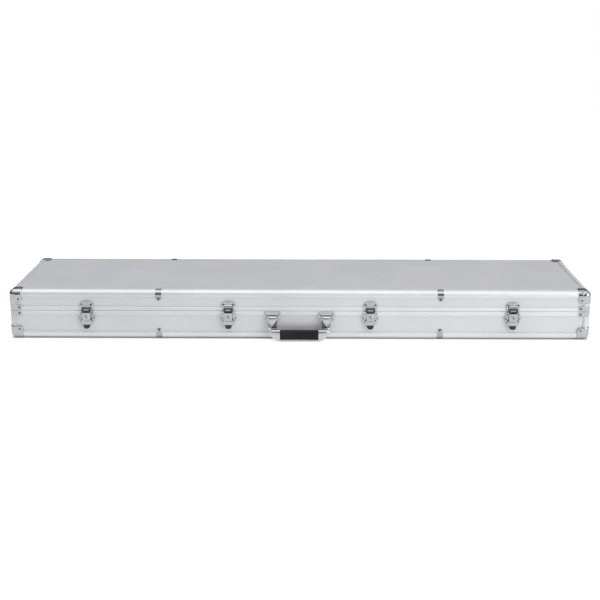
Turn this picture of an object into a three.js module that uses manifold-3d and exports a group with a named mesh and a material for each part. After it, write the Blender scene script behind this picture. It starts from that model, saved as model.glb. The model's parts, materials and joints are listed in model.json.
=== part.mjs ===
// Cue case: a shallow aluminium-edged case with four key-lock draw latches, a folding handle
// and a rear-hinged lid. Millimetres, +X to the right, +Y to the rear, +Z up.
// z = 0 is the underside of the ball corners that the case rests on.

import * as THREE from 'three';
import { RoundedBoxGeometry } from 'three/addons/geometries/RoundedBoxGeometry.js';
import { mergeVertices } from 'three/addons/utils/BufferGeometryUtils.js';
import Module from 'manifold-3d';

const wasm = await Module();
wasm.setup();

// ---------------------------------------------------------------- driving dimensions

const overallLength = 1340;
const overallDepth = 350;
const overallHeight = 116.5;

const gap = 0.3; // running gap between touching pieces
const cornerSheet = 0.9; // ball corner sheet thickness
const cornerProud = cornerSheet + gap; // how far a ball corner stands over the extrusions
const cornerLeg = 30; // reach of a ball corner along each edge
const cornerRadius = 13;
const cornerTabRadius = 8;

const halfX = overallLength / 2 - cornerProud; // outer faces of the extrusions
const halfY = overallDepth / 2 - cornerProud;
const bottomZ = cornerProud;
const topZ = overallHeight - cornerProud;

const edgeRadius = cornerRadius - cornerProud; // the extrusions' rounding, inside the corners'
const sheet = 1.5; // extrusion wall
const flange = 16; // width of an extrusion's flange on each face
const roundSteps = 3; // segments in each quarter round

const board = 4; // laminated wall board
const boardInset = sheet + gap; // outer face of a board behind the extrusion's outer face
const boardEnd = edgeRadius + 0.4; // where a board's edge stops, from the outer face
const liner = 1.2; // inner leg of a valance
const linerInset = boardInset + board + gap;
const linerLap = 4; // how far a valance's inner leg reaches past its outer one

const partingZ = 67.6;
const partingGap = 0.6;
const baseValance = { low: partingZ - 10.4, high: partingZ - partingGap / 2 };
const lidValance = { low: partingZ + partingGap / 2, high: partingZ + 9.6 };
const tongue = { inset: 3, thickness: 1.5, height: 3.7 };
const webRise = 4.1; // the lid valance's web above its lower edge, clear of the tongue

const root = 0.5; // how far joined solids run into each other

const baseFoamHeight = 32;
const lidFoamHeight = 27;
const foamInset = linerInset + liner + 1;

const hinge = {
  stations: [-470, 0, 470],
  width: 64,
  leafHeight: 25,
  leafThickness: 1.5,
  barrelRadius: 3.2,
  pinRadius: 1.6,
  knuckle: 22,
  padInset: 4,
  pinHead: 1.2,
  pinHeadRadius: 2.6,
};

const latch = {
  stations: { far_left: -490.5, left: -163.5, right: 163.5, far_right: 490.5 },
  plateHalf: 15.5,
  plate: 1.2,
  keeperTop: 90,
  keeperLow: 72.5,
  shelfTop: 75.8,
  baseLow: 38,
  baseHigh: 66.4,
  pivotZ: 62,
  pivotOut: 5,
  linkZ: 53,
  linkOut: 5,
  linkPin: 1.3,
  pivotPin: 1.5,
  barrelZ: 55.2,
  barrelRadius: 4.2,
  tabLow: 25.7,
  padInset: 3, // the plates' pads stop this far inside the plates' edges
  leverHalf: 9.2,
  armInner: 9.5, // the hook's side arms, outside the lever
  armOuter: 10.7,
};

const handle = {
  bracketX: 62,
  bracketHalf: 20,
  bracketLow: 45,
  bracketHigh: 66,
  pivotZ: 54,
  pivotOut: 5.4,
  pinRadius: 1.7,
  armHalf: 8.5,
  outerHalf: 70.5,
  bottomZ: 1.2,
  lowCorner: 30, // plan rounding of the frame's two lower corners
  edge: 0.8, // the frame stands this far beyond the grip, front and back
  gripHalf: 44,
  gripLow: 7.2,
  gripHigh: 27.3,
  gripOut: [13, 27],
};

// The front reach of the handle and the rear reach of the hinges aren't equal, so the
// case body is moved along Y until the whole object's box is centred on the origin.
const frontReach = halfY + handle.gripOut[1] + handle.edge;
const rearReach = halfY + gap + 2 * hinge.barrelRadius;
const bodyShiftY = (frontReach - rearReach) / 2;

// ---------------------------------------------------------------- solids

const axisX = new THREE.Vector3(1, 0, 0);
const axisY = new THREE.Vector3(0, 1, 0);
const axisZ = new THREE.Vector3(0, 0, 1);

function solid(geometry) {
  const plain = geometry.index ? geometry.toNonIndexed() : geometry.clone();
  plain.deleteAttribute('normal');
  plain.deleteAttribute('uv');
  const merged = mergeVertices(plain, 1e-4);
  return new wasm.Manifold(new wasm.Mesh({
    numProp: 3,
    vertProperties: merged.attributes.position.array,
    triVerts: new Uint32Array(merged.index.array),
  }));
}

function joined(parts) {
  return parts.reduce((whole, part) => whole.add(part));
}

function cut(whole, tools) {
  return tools.reduce((left, tool) => left.subtract(tool), whole);
}

function box(x0, x1, y0, y1, z0, z1) {
  const shape = new THREE.BoxGeometry(x1 - x0, y1 - y0, z1 - z0);
  shape.translate((x0 + x1) / 2, (y0 + y1) / 2, (z0 + z1) / 2);
  return solid(shape);
}

function roundedBox(reachX, reachY, z0, z1, radius) {
  const shape = new RoundedBoxGeometry(2 * reachX, 2 * reachY, z1 - z0, roundSteps, radius);
  shape.translate(0, 0, (z0 + z1) / 2);
  return solid(shape);
}

function roundedRectangle(x0, x1, y0, y1, radius) {
  const shape = new THREE.Shape();
  shape.moveTo(x0 + radius, y0);
  shape.absarc(x1 - radius, y0 + radius, radius, -Math.PI / 2, 0);
  shape.absarc(x1 - radius, y1 - radius, radius, 0, Math.PI / 2);
  shape.absarc(x0 + radius, y1 - radius, radius, Math.PI / 2, Math.PI);
  shape.absarc(x0 + radius, y0 + radius, radius, Math.PI, 1.5 * Math.PI);
  return shape;
}

function extruded(shape, depth, steps = roundSteps) {
  return new THREE.ExtrudeGeometry(shape, { depth, bevelEnabled: false, curveSegments: steps });
}

// A plan outline, extruded upwards.
function upright(shape, z0, z1, steps) {
  return solid(extruded(shape, z1 - z0, steps).translate(0, 0, z0));
}

// An outline drawn in X and Z, extruded from out0 to out1 in front of the front face.
function facing(shape, out0, out1, steps) {
  const geometry = extruded(shape, out1 - out0, steps);
  geometry.rotateX(Math.PI / 2);
  geometry.translate(0, -halfY - out0, 0);
  return solid(geometry);
}

// A side outline drawn as (distance in front of the front face, Z), extruded along X.
function sideways(points, x0, x1) {
  const outline = points.map(([out, z]) => new THREE.Vector2(-halfY - out, z));
  const geometry = extruded(new THREE.Shape(outline), x1 - x0);
  geometry.applyMatrix4(new THREE.Matrix4().makeBasis(axisY, axisZ, axisX));
  geometry.translate(x0, 0, 0);
  return solid(geometry);
}

// A round bar along X, centred at out in front of the front face (or at y for a rear one).
function barX(x0, x1, y, z, radius, sides = 12) {
  const geometry = new THREE.CylinderGeometry(radius, radius, x1 - x0, sides);
  geometry.rotateZ(Math.PI / 2);
  geometry.translate((x0 + x1) / 2, y, z);
  return solid(geometry);
}

function barOut(x, z, radius, out0, out1, sides = 16) {
  const geometry = new THREE.CylinderGeometry(radius, radius, out1 - out0, sides);
  geometry.translate(x, -halfY - (out0 + out1) / 2, z);
  return solid(geometry);
}

// A band that follows the case's plan outline, between two insets from the outer face.
function band(inset0, inset1, z0, z1) {
  const plan = (inset) => roundedRectangle(
    -halfX + inset, halfX - inset, -halfY + inset, halfY - inset, Math.max(edgeRadius - inset, 1));
  const over = 1;
  return upright(plan(inset0), z0, z1).subtract(upright(plan(inset1), z0 - over, z1 + over));
}

const finishes = {
  laminate: { color: 0xc4c5ca, roughness: 0.42, metalness: 0.25 },
  aluminium: { color: 0xd6d7db, roughness: 0.28, metalness: 0.9 },
  chrome: { color: 0xdadce0, roughness: 0.12, metalness: 1 },
  steel: { color: 0xb9bbc0, roughness: 0.3, metalness: 1 },
  foam: { color: 0x2b2c30, roughness: 0.95, metalness: 0 },
  grip: { color: 0x1f1e22, roughness: 0.5, metalness: 0 },
};

function piece(name, shape, finish) {
  const { vertProperties, triVerts } = shape.getMesh();
  const geometry = new THREE.BufferGeometry();
  geometry.setAttribute('position', new THREE.BufferAttribute(vertProperties, 3));
  geometry.setIndex(new THREE.BufferAttribute(triVerts, 1));
  geometry.computeVertexNormals();
  const mesh = new THREE.Mesh(geometry, new THREE.MeshStandardMaterial(finishes[finish]));
  mesh.name = name;
  return mesh;
}

// ---------------------------------------------------------------- shell boards and extrusions

function wallBoards(half, z0, z1) {
  const outerX = halfX - boardInset;
  const outerY = halfY - boardInset;
  const endX = halfX - boardEnd;
  const endY = halfY - boardEnd;
  return [
    piece(`${half}_front_board`, box(-endX, endX, -outerY, -outerY + board, z0, z1), 'laminate'),
    piece(`${half}_back_board`, box(-endX, endX, outerY - board, outerY, z0, z1), 'laminate'),
    piece(`${half}_left_board`, box(-outerX, -outerX + board, -endY, endY, z0, z1), 'laminate'),
    piece(`${half}_right_board`, box(outerX - board, outerX, -endY, endY, z0, z1), 'laminate'),
  ];
}

function flatPanel(name, z0) {
  const endX = halfX - boardEnd;
  const endY = halfY - boardEnd;
  return piece(name, box(-endX, endX, -endY, endY, z0, z0 + board), 'laminate');
}

function forEachCorner(make) {
  const made = [];
  for (const sideX of [-1, 1]) {
    for (const sideY of [-1, 1]) {
      made.push(make(sideX, sideY));
    }
  }
  return made;
}

// The cube of space that a ball corner occupies, at one corner of the case.
function cornerSpace(sideX, sideY, atTop) {
  const size = 2 * cornerLeg;
  const shape = new RoundedBoxGeometry(size, size, size, roundSteps, cornerTabRadius);
  shape.translate(
    sideX * (halfX + cornerProud), sideY * (halfY + cornerProud), atTop ? overallHeight : 0);
  return solid(shape);
}

// The outer skin of the whole case, moved outwards by proud and rounded by radius.
function skin(proud, radius) {
  return roundedBox(halfX + proud, halfY + proud, bottomZ - proud, topZ + proud, radius);
}

function edgeFrame(name, atTop) {
  const shell = skin(0, edgeRadius).subtract(skin(-sheet, edgeRadius - sheet));
  const high = 2 * overallHeight;
  const flat = atTop ? topZ : bottomZ;
  const inward = atTop ? -1 : 1;
  const rim = flat + inward * flange;
  const end = atTop ? lidValance.high + gap : baseValance.low - gap;
  const [windowLow, windowHigh] = atTop ? [-high, rim] : [rim, high];
  const [restLow, restHigh] = atTop ? [-high, end] : [end, high];
  const panelWindow = box(
    -halfX + flange, halfX - flange, -halfY + flange, halfY - flange, -high, high);
  const longWindow = box(
    -halfX + flange, halfX - flange, -halfY - 1, halfY + 1, windowLow, windowHigh);
  const endWindow = box(
    -halfX - 1, halfX + 1, -halfY + flange, halfY - flange, windowLow, windowHigh);
  const otherHalf = box(-halfX - 1, halfX + 1, -halfY - 1, halfY + 1, restLow, restHigh);
  return piece(name, cut(shell, [panelWindow, longWindow, endWindow, otherHalf]), 'aluminium');
}

function baseValancePiece() {
  const { low, high } = baseValance;
  const land = band(0, linerInset + liner, high - sheet, high);
  const skirt = band(0, sheet, low, high);
  const inner = band(linerInset, linerInset + liner, low - linerLap, high);
  const rib = band(tongue.inset, tongue.inset + tongue.thickness, high - root, high + tongue.height);
  return piece('base_valance', joined([land, skirt, inner, rib]), 'aluminium');
}

function lidValancePiece() {
  const { low, high } = lidValance;
  const web = band(0, linerInset + liner, low + webRise, low + webRise + sheet);
  const skirt = band(0, sheet, low, high);
  const inner = band(linerInset, linerInset + liner, low, high + linerLap);
  return piece('lid_valance', joined([web, skirt, inner]), 'aluminium');
}

function foamPad(name, z0, z1) {
  const reachX = halfX - foamInset;
  const reachY = halfY - foamInset;
  return piece(name, box(-reachX, reachX, -reachY, reachY, z0, z1), 'foam');
}

function ballCorner(name, sideX, sideY, atTop) {
  const cap = skin(cornerProud, cornerRadius)
    .subtract(skin(gap, cornerRadius - cornerSheet))
    .intersect(cornerSpace(sideX, sideY, atTop));
  return piece(name, cap, 'chrome');
}

function ballCorners(half, atTop) {
  return forEachCorner((sideX, sideY) => {
    const place = `${sideY < 0 ? 'front' : 'rear'}_${sideX < 0 ? 'left' : 'right'}`;
    return ballCorner(`${half}_corner_${place}`, sideX, sideY, atTop);
  });
}

// ---------------------------------------------------------------- rear hinges

// One leaf of a hinge: a plate on the rear face with a pad to the board and its own knuckles.
function hingeLeaf(name, x, onLid, knuckles) {
  const { width, leafHeight, leafThickness, barrelRadius, pinRadius } = hinge;
  const padHalf = width / 2 - hinge.padInset;
  const side = onLid ? 1 : -1;
  const near = halfY + gap;
  const axis = near + barrelRadius;
  const between = (a, b) => [Math.min(a, b), Math.max(a, b)];
  const plateZ = between(
    partingZ + side * (barrelRadius + gap), partingZ + side * (barrelRadius + leafHeight));
  const padStart = onLid ? lidValance.high + gap : baseValance.low - gap;
  const padZ = between(padStart, partingZ + side * (barrelRadius + leafHeight));
  const plate = box(x - width / 2, x + width / 2, near, near + leafThickness, ...plateZ);
  const pad = box(x - padHalf, x + padHalf, halfY - boardInset + gap, near + root, ...padZ);
  const rolled = knuckles.map(([x0, x1]) => {
    const neckZ = between(partingZ, partingZ + side * (barrelRadius + 1));
    const neck = box(x + x0, x + x1, near, near + leafThickness, ...neckZ);
    return barX(x + x0, x + x1, axis, partingZ, barrelRadius).add(neck);
  });
  const bore = barX(x - width, x + width, axis, partingZ, pinRadius + gap);
  return piece(name, joined([plate, pad, ...rolled]).subtract(bore), 'steel');
}

function hingePin(name, x) {
  const axis = halfY + gap + hinge.barrelRadius;
  const reach = hinge.width / 2 + gap;
  const head = hinge.pinHead;
  const shank = barX(x - reach - head, x + reach + head, axis, partingZ, hinge.pinRadius);
  const heads = [-1, 1].map((end) => {
    const inner = x + end * reach;
    const outer = x + end * (reach + head);
    return barX(
      Math.min(inner, outer), Math.max(inner, outer), axis, partingZ, hinge.pinHeadRadius);
  });
  return piece(name, joined([shank, ...heads]), 'steel');
}

function rearHinges() {
  const { width, knuckle, stations } = hinge;
  const middle = [[-knuckle / 2, knuckle / 2]];
  const outer = [
    [-width / 2, -knuckle / 2 - gap],
    [knuckle / 2 + gap, width / 2],
  ];
  return stations.flatMap((x, index) => {
    const name = `hinge_${['left', 'middle', 'right'][index]}`;
    return [
      hingeLeaf(`${name}_lid_leaf`, x, true, middle),
      hingeLeaf(`${name}_base_leaf`, x, false, outer),
      hingePin(`${name}_pin`, x),
    ];
  });
}

// ---------------------------------------------------------------- draw latches

function latchKeeper(name, x) {
  const { plateHalf, plate, padInset, keeperLow, keeperTop, shelfTop } = latch;
  const shelfHalf = 8;
  const shelfOut = 3.2;
  const corner = 7;
  const outline = roundedRectangle(x - plateHalf, x + plateHalf, keeperLow, keeperTop, corner);
  const face = facing(outline, gap, gap + plate);
  const pad = box(
    x - plateHalf + padInset, x + plateHalf - padInset, -halfY - gap - root,
    -halfY + boardInset - gap, lidValance.high + gap, keeperTop - padInset);
  const shelf = box(
    x - shelfHalf, x + shelfHalf, -halfY - shelfOut, -halfY - gap, keeperLow, shelfTop);
  return piece(name, joined([face, pad, shelf]), 'chrome');
}

function latchBase(name, x) {
  const { plateHalf, plate, padInset, baseLow, baseHigh, pivotZ, pivotOut, pivotPin } = latch;
  const corner = 4;
  const earOut = 6; // the ears' inner faces
  const cheekOut = 12.7; // the cheeks' inner faces
  const wall = 1.2;
  const from = gap + root;
  const cheekTop = baseHigh - 0.4;
  const outline = roundedRectangle(x - plateHalf, x + plateHalf, baseLow, baseHigh, corner);
  const face = facing(outline, gap, gap + plate);
  const pad = box(
    x - plateHalf + padInset, x + plateHalf - padInset, -halfY - from,
    -halfY + boardInset - gap, baseLow + padInset, baseValance.low - gap);
  const ears = [earOut, -earOut - wall].map((start) => {
    const arm = sideways([
      [from, pivotZ - 6], [pivotOut, pivotZ - 2.5], [pivotOut, pivotZ + 2.5], [from, pivotZ + 1.5],
    ], x + start, x + start + wall);
    const eye = barX(x + start, x + start + wall, -halfY - pivotOut, pivotZ, pivotPin + 1.1);
    return arm.add(eye);
  });
  const bore = barX(x - earOut - 2, x + earOut + 2, -halfY - pivotOut, pivotZ, pivotPin + gap);
  const cheeks = [cheekOut, -cheekOut - wall].map((start) => sideways([
    [from, 43], [5.5, 45], [7.5, 49], [7.5, 62], [5, cheekTop], [from, cheekTop],
  ], x + start, x + start + wall));
  return piece(name, cut(joined([face, pad, ...ears, ...cheeks]), [bore]), 'chrome');
}

// The finger lever: a raised lock plate, side flanges with the two pivots, and a finger tab.
function latchLever(name, x) {
  const { pivotZ, pivotOut, linkZ, linkOut, barrelZ, barrelRadius, tabLow } = latch;
  const half = latch.leverHalf;
  const flangeSheet = 1.2;
  const tabHalf = 8.1;
  const leverTop = pivotZ + 2;
  const wingHalf = 12.2;
  const profile = sideways([
    [8, leverTop], [9.5, leverTop], [9.5, 48], [6.6, 43.5], [5.2, 38], [8.2, tabLow],
    [6.8, tabLow], [3.7, 37.6], [5, 44.2], [8, 48.8],
  ], x - wingHalf, x + wingHalf);
  const outline = new THREE.Shape();
  outline.moveTo(x - half, leverTop);
  outline.lineTo(x - half, 47.6);
  outline.lineTo(x - wingHalf, 45.6);
  outline.lineTo(x - wingHalf, 40);
  outline.lineTo(x - tabHalf, tabLow + tabHalf);
  outline.absarc(x, tabLow + tabHalf, tabHalf, Math.PI, 2 * Math.PI);
  outline.lineTo(x + wingHalf, 40);
  outline.lineTo(x + wingHalf, 45.6);
  outline.lineTo(x + half, 47.6);
  outline.lineTo(x + half, leverTop);
  const plate = profile.intersect(facing(outline, 0, 20, 6));
  const flanges = [-1, 1].map((side) => {
    const inner = x + side * (half - flangeSheet);
    const outer = x + side * half;
    return sideways([
      [8.5, leverTop - 0.4], [8.5, 49.4], [linkOut - 1.6, linkZ - 2.4], [linkOut - 2.2, linkZ],
      [pivotOut - 2.4, pivotZ], [pivotOut - 1.8, pivotZ + 1.6],
    ], Math.min(inner, outer), Math.max(inner, outer));
  });
  const linkBore = barX(x - half - 1, x + half + 1, -halfY - linkOut, linkZ, latch.linkPin + gap);
  const pivots = [-1, 1].map((side) => {
    const inner = x + side * 5.4;
    const outer = x + side * (half - 0.4);
    return barX(
      Math.min(inner, outer), Math.max(inner, outer), -halfY - pivotOut, pivotZ, latch.pivotPin);
  });
  const barrelHole = barOut(x, barrelZ, barrelRadius + gap, 7, 12);
  const body = cut(joined([plate, ...flanges]), [linkBore, barrelHole]);
  return piece(name, joined([body, ...pivots]), 'chrome');
}

// The draw hook: two side arms on the lever's link pivots, joined by a sloping strap, and an
// arched claw whose nose drops over the keeper's shelf.
function latchHook(name, x) {
  const { linkZ, linkOut, linkPin, armInner, armOuter, shelfTop } = latch;
  const clawTop = 82.5;
  const clawOut = [5, 6.5];
  const noseHalf = 6.5;
  const arch = new THREE.Shape();
  const archRadius = armOuter - 2.4;
  arch.moveTo(x - armOuter, 70);
  arch.lineTo(x + armOuter, 70);
  arch.lineTo(x + armOuter, clawTop - archRadius);
  arch.absarc(x + armOuter - archRadius, clawTop - archRadius, archRadius, 0, Math.PI / 2);
  arch.absarc(x - armOuter + archRadius, clawTop - archRadius, archRadius, Math.PI / 2, Math.PI);
  const claw = facing(arch, ...clawOut);
  const strap = sideways(
    [[6.9, 66.5], [8, 66.5], [6.5, 74], [5, 74]], x - armOuter, x + armOuter);
  const nose = box(
    x - noseHalf, x + noseHalf, -halfY - clawOut[0] - root, -halfY - 2,
    shelfTop + gap, shelfTop + 2.4);
  const arms = [-1, 1].map((side) => {
    const x0 = x + (side < 0 ? -armOuter : armInner);
    const x1 = x + (side < 0 ? -armInner : armOuter);
    const arm = sideways([
      [linkOut - 1.9, linkZ], [linkOut + 1.5, linkZ], [6.5, 70], [6.5, 74], [3.2, 70],
    ], x0, x1);
    const eye = barX(x0, x1, -halfY - linkOut, linkZ, linkPin + 0.8);
    const inner = x + side * (armInner - 1.4);
    const outer = x + side * (armInner + root);
    const pin = barX(
      Math.min(inner, outer), Math.max(inner, outer), -halfY - linkOut, linkZ, linkPin);
    return joined([arm, eye, pin]);
  });
  return piece(name, joined([claw, strap, nose, ...arms]), 'chrome');
}

function latchBarrel(name, x) {
  const { barrelZ, barrelRadius } = latch;
  const face = 9.9;
  const slotFloor = 8.4;
  const slotHalf = 0.7;
  const plug = barOut(x, barrelZ, barrelRadius, 6, face);
  const slot = box(
    x - slotHalf, x + slotHalf, -halfY - face - 1, -halfY - slotFloor, barrelZ - 2.6, barrelZ + 1);
  const eye = barOut(x, barrelZ + 1, 1.3, slotFloor, face + 1, 8);
  return piece(name, cut(plug, [slot, eye]), 'chrome');
}

function drawLatches() {
  return Object.entries(latch.stations).flatMap(([place, x]) => [
    latchKeeper(`latch_${place}_keeper`, x),
    latchBase(`latch_${place}_base`, x),
    latchLever(`latch_${place}_lever`, x),
    latchHook(`latch_${place}_hook`, x),
    latchBarrel(`latch_${place}_lock_barrel`, x),
  ]);
}

// ---------------------------------------------------------------- handle

function handleBracket(name, x) {
  const { bracketHalf, bracketLow, bracketHigh, pivotZ, pivotOut, pinRadius, armHalf } = handle;
  const corner = 3;
  const thickness = 1.4;
  const margin = 2;
  const lugRadius = 3;
  const outline = roundedRectangle(
    x - bracketHalf, x + bracketHalf, bracketLow, bracketHigh, corner);
  const plate = facing(outline, gap, gap + thickness);
  const pad = box(
    x - bracketHalf + margin, x + bracketHalf - margin, -halfY - gap - root,
    -halfY + boardInset - gap, bracketLow + margin, baseValance.low - gap);
  const lugs = [-1, 1].map((side) => {
    const inner = x + side * (armHalf + 1);
    const outer = x + side * (armHalf + 7);
    const [x0, x1] = [Math.min(inner, outer), Math.max(inner, outer)];
    const foot = box(
      x0, x1, -halfY - pivotOut, -halfY - gap - root, pivotZ - lugRadius, pivotZ + lugRadius);
    return barX(x0, x1, -halfY - pivotOut, pivotZ, lugRadius).add(foot);
  });
  const pin = barX(x - armHalf - 5, x + armHalf + 5, -halfY - pivotOut, pivotZ, pinRadius);
  return piece(name, joined([plate, pad, ...lugs, pin]), 'chrome');
}

function handleOutline() {
  const { outerHalf, bottomZ: low, lowCorner: corner, bracketX, armHalf, pivotZ, gripHigh } = handle;
  const top = pivotZ + 4;
  const inner = bracketX - armHalf;
  const shape = new THREE.Shape();
  shape.moveTo(-outerHalf + corner, low);
  shape.absarc(outerHalf - corner, low + corner, corner, -Math.PI / 2, 0);
  shape.lineTo(outerHalf, top);
  shape.lineTo(inner, top);
  shape.lineTo(inner, gripHigh + 0.5);
  shape.lineTo(-inner, gripHigh + 0.5);
  shape.lineTo(-inner, top);
  shape.lineTo(-outerHalf, top);
  shape.absarc(-outerHalf + corner, low + corner, corner, Math.PI, 1.5 * Math.PI);
  return shape;
}

// The steel frame: two arms that swing on the bracket pins and a boat-shaped lower part.
function handleFrame() {
  const { pivotZ, pivotOut, pinRadius, edge, gripOut, gripHalf, gripLow, gripHigh } = handle;
  const [back, front] = gripOut;
  const low = handle.bottomZ;
  const profile = sideways([
    [pivotOut - 3, pivotZ + 1.5], [pivotOut - 1.5, pivotZ + 3], [pivotOut + 1.5, pivotZ + 3],
    [pivotOut + 3, pivotZ + 1], [front - 6, gripHigh + 6], [front + edge, gripHigh - 3],
    [front + edge, low + 6], [front - 4, low], [back + 4, low], [back - edge, low + 6],
    [back - edge, gripHigh], [pivotOut - 3, pivotZ - 2],
  ], -handle.outerHalf, handle.outerHalf);
  const body = profile.intersect(facing(handleOutline(), 0, 60, 6));
  const window = box(
    -gripHalf - gap, gripHalf + gap, -halfY - 60, -halfY - 2, gripLow - gap, gripHigh + 8);
  const bore = barX(-100, 100, -halfY - pivotOut, pivotZ, pinRadius + gap);
  return piece('handle_frame', cut(body, [window, bore]), 'chrome');
}

function handleGrip() {
  const { gripHalf, gripLow, gripHigh, gripOut } = handle;
  const [back, front] = gripOut;
  const soft = 4.5;
  const section = roundedRectangle(-halfY - front, -halfY - back, gripLow, gripHigh, soft);
  const geometry = extruded(section, 2 * gripHalf);
  geometry.applyMatrix4(new THREE.Matrix4().makeBasis(axisY, axisZ, axisX));
  geometry.translate(-gripHalf, 0, 0);
  return piece('handle_grip', solid(geometry), 'grip');
}

// ---------------------------------------------------------------- assembly

function lidShell() {
  return [
    flatPanel('lid_top_panel', topZ - boardInset - board),
    ...wallBoards('lid', lidValance.low + webRise + sheet + gap, topZ - boardEnd),
    edgeFrame('lid_edge_frame', true),
    lidValancePiece(),
    foamPad('lid_foam', topZ - boardInset - board - gap - lidFoamHeight,
      topZ - boardInset - board - gap),
    ...ballCorners('lid', true),
  ];
}

function baseShell() {
  const floor = bottomZ + boardInset;
  return [
    flatPanel('base_bottom_panel', floor),
    ...wallBoards('base', bottomZ + boardEnd, baseValance.high - sheet - gap),
    edgeFrame('base_edge_frame', false),
    baseValancePiece(),
    foamPad('base_foam', floor + board + gap, floor + board + gap + baseFoamHeight),
    ...ballCorners('base', false),
  ];
}

const caseBody = new THREE.Group();
caseBody.position.y = bodyShiftY;
caseBody.add(
  ...baseShell(),
  ...lidShell(),
  ...rearHinges(),
  ...drawLatches(),
  handleBracket('handle_bracket_left', -handle.bracketX),
  handleBracket('handle_bracket_right', handle.bracketX),
  handleFrame(),
  handleGrip(),
);

const cueCase = new THREE.Group();
cueCase.add(caseBody);

export default cueCase;
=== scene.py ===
"""Cue case: the visual model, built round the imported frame. Metres, +X right, +Y rear, +Z up."""

import json
import math

import bmesh
import bpy
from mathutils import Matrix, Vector


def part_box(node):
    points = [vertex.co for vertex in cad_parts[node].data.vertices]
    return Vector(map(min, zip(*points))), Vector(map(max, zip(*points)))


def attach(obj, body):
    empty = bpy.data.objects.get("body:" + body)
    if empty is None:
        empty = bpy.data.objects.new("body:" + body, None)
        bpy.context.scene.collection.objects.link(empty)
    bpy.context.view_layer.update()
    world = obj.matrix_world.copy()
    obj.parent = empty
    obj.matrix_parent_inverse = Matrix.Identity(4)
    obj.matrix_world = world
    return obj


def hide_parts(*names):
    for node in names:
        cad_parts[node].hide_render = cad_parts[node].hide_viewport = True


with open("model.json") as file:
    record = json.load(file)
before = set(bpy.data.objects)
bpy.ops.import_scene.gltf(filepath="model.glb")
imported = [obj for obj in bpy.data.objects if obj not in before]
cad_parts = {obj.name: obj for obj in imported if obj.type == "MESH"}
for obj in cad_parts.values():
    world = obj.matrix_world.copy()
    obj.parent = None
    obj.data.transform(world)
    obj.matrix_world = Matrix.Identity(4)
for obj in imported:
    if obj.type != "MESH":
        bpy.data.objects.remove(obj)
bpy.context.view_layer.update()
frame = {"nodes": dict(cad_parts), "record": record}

MM = 0.001

# ---------------- places taken from the frame

frame_low, frame_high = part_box("base_edge_frame")
LEFT, FRONT, BOTTOM = frame_low
RIGHT, REAR = frame_high[0], frame_high[1]
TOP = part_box("lid_edge_frame")[1][2]
CORNER_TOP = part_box("lid_corner_front_left")[1][2]
JOINTS = {joint["name"]: joint for joint in frame["record"]["behaviour"]["joints"]}
HINGE_Y = JOINTS["lid_hinge"]["pos_m"][1]
PARTING = JOINTS["lid_hinge"]["pos_m"][2]
HANDLE_Z = JOINTS["handle_swing"]["pos_m"][2]
HANDLE_OUT = FRONT - JOINTS["handle_swing"]["pos_m"][1]
LATCHES = ("far_left", "left", "right", "far_right")
HINGES = ("left", "middle", "right")

# ---------------- driving sizes

EDGE_RADIUS = 11.8 * MM  # rounding of the extrusions
FLANGE = 16 * MM  # width of an extrusion's flange
SHEET = 1.5 * MM  # extrusion wall
STEP = 1.8 * MM  # how far the boards lie behind the extrusions' faces
GAP = 0.3 * MM
PLATE = 0.9 * MM  # stamped corner, brace and clip sheet
CORNER_LEG = 30 * MM
CORNER_RADIUS = 13 * MM
TAB_RADIUS = 8 * MM
BASE_VALANCE = 10.1 * MM
LID_VALANCE = 9.3 * MM
MOUTH_GAP = 0.3 * MM
LIP = 0.4 * MM  # chamfer along the extrusions' edges
LINER_IN, LINER_OUT = 6.1 * MM, 7.3 * MM  # the valances' inner wall
LINER_LAP = 4 * MM  # how far that wall runs on past the valance
RAIL_END = 24 * MM  # where the straight extrusions stop, under the ball corners
RIVET = 2.5 * MM
RIVET_SUNK = 0.1 * MM  # how far a rivet's head starts below its sheet
AHEAD = (0, -1, 0)
CLIP_X = 324.4 * MM
CLIP_HALF = 7 * MM


# ---------------- solids

def facing(x, z, out):
    """A point out in front of the front extrusion face."""
    return Vector((x, FRONT - out, z))


def at_mm(x, out, z):
    """A point ahead of the front face at x metres, from out and z in millimetres."""
    return facing(x, z * MM, out * MM)


def in_mm(points):
    return [(a * MM, b * MM) for a, b in points]


def behind(x, z, out):
    """A point out behind the rear extrusion face."""
    return Vector((x, REAR + out, z))


def loft(bm, rings, closed=False):
    """Joins rings of points, each as long as the next, and caps both ends unless it is closed."""
    loops = [[bm.verts.new(point) for point in ring] for ring in rings]
    pairs = list(zip(loops, loops[1:]))
    if closed:
        pairs.append((loops[-1], loops[0]))
    for first, second in pairs:
        for i in range(len(first)):
            j = (i + 1) % len(first)
            bm.faces.new((first[i], first[j], second[j], second[i]))
    if not closed:
        bm.faces.new(loops[0][::-1])
        bm.faces.new(loops[-1])


def prism(bm, outline, place, low, high):
    """An outline of (a, b) points carried from low to high by place(a, b, c)."""
    loft(bm, [[place(a, b, c) for a, b in outline] for c in (low, high)])


def across(axis):
    """Two directions at right angles to axis and to each other."""
    side = Vector((0, 0, 1)) if abs(axis.z) < 0.9 else Vector((1, 0, 0))
    first = axis.cross(side).normalized()
    return first, axis.cross(first).normalized()


def turned(bm, centre, axis, profile, sides=24):
    """A round solid about axis from (radius, height) pairs."""
    axis = Vector(axis).normalized()
    one, two = across(axis)
    angles = [2 * math.pi * i / sides for i in range(sides)]
    loft(bm, [
        [centre + axis * height + (one * math.cos(a) + two * math.sin(a)) * radius for a in angles]
        for radius, height in profile
    ])


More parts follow.
